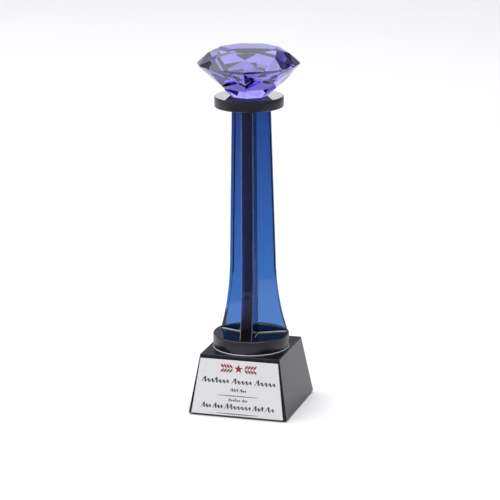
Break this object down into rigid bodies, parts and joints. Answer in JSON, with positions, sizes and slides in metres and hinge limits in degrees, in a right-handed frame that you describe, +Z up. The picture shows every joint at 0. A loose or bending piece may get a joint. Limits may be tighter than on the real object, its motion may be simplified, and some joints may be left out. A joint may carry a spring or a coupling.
{
  "type": "column trophy",
  "caption": "Column trophy: a cut crystal diamond on a disc, carried by a flared three-wing glass column on a disc and a tapered black glass base with a name plate.",
  "frame": {"origin": "centre of the underside of the felt, on the surface that the trophy stands on", "axes": "+Z up the column, -Y towards the front, where the name plate is, +X to the right seen from the front"},
  "size_m": [0.0818, 0.0828, 0.2928],
  "materials": {
    "black_glass": "polished, opaque",
    "blue_glass": "polished, clear tinted",
    "violet_crystal": "polished, faceted",
    "plate_metal": "satin, white silver",
    "print_red": "printed ink",
    "print_black": "printed ink",
    "clear_adhesive": "cured clear adhesive",
    "tape": "double-sided foam tape",
    "felt": "pressed felt"
  },
  "bodies": {
    "root": {"felt_pad": "felt", "base_block": "black_glass", "plate_tape": "tape", "name_plate": "plate_metal", "plate_emblem": "print_red", "plate_print": "print_black", "base_glue": "clear_adhesive", "foot_disc": "black_glass", "foot_glue": "clear_adhesive", "front_wing": "blue_glass", "left_wing": "blue_glass", "right_wing": "blue_glass", "wing_seam_glue": "clear_adhesive", "head_glue": "clear_adhesive", "head_disc": "black_glass", "diamond_glue": "clear_adhesive", "diamond": "violet_crystal"}
  },
  "joints": []
}
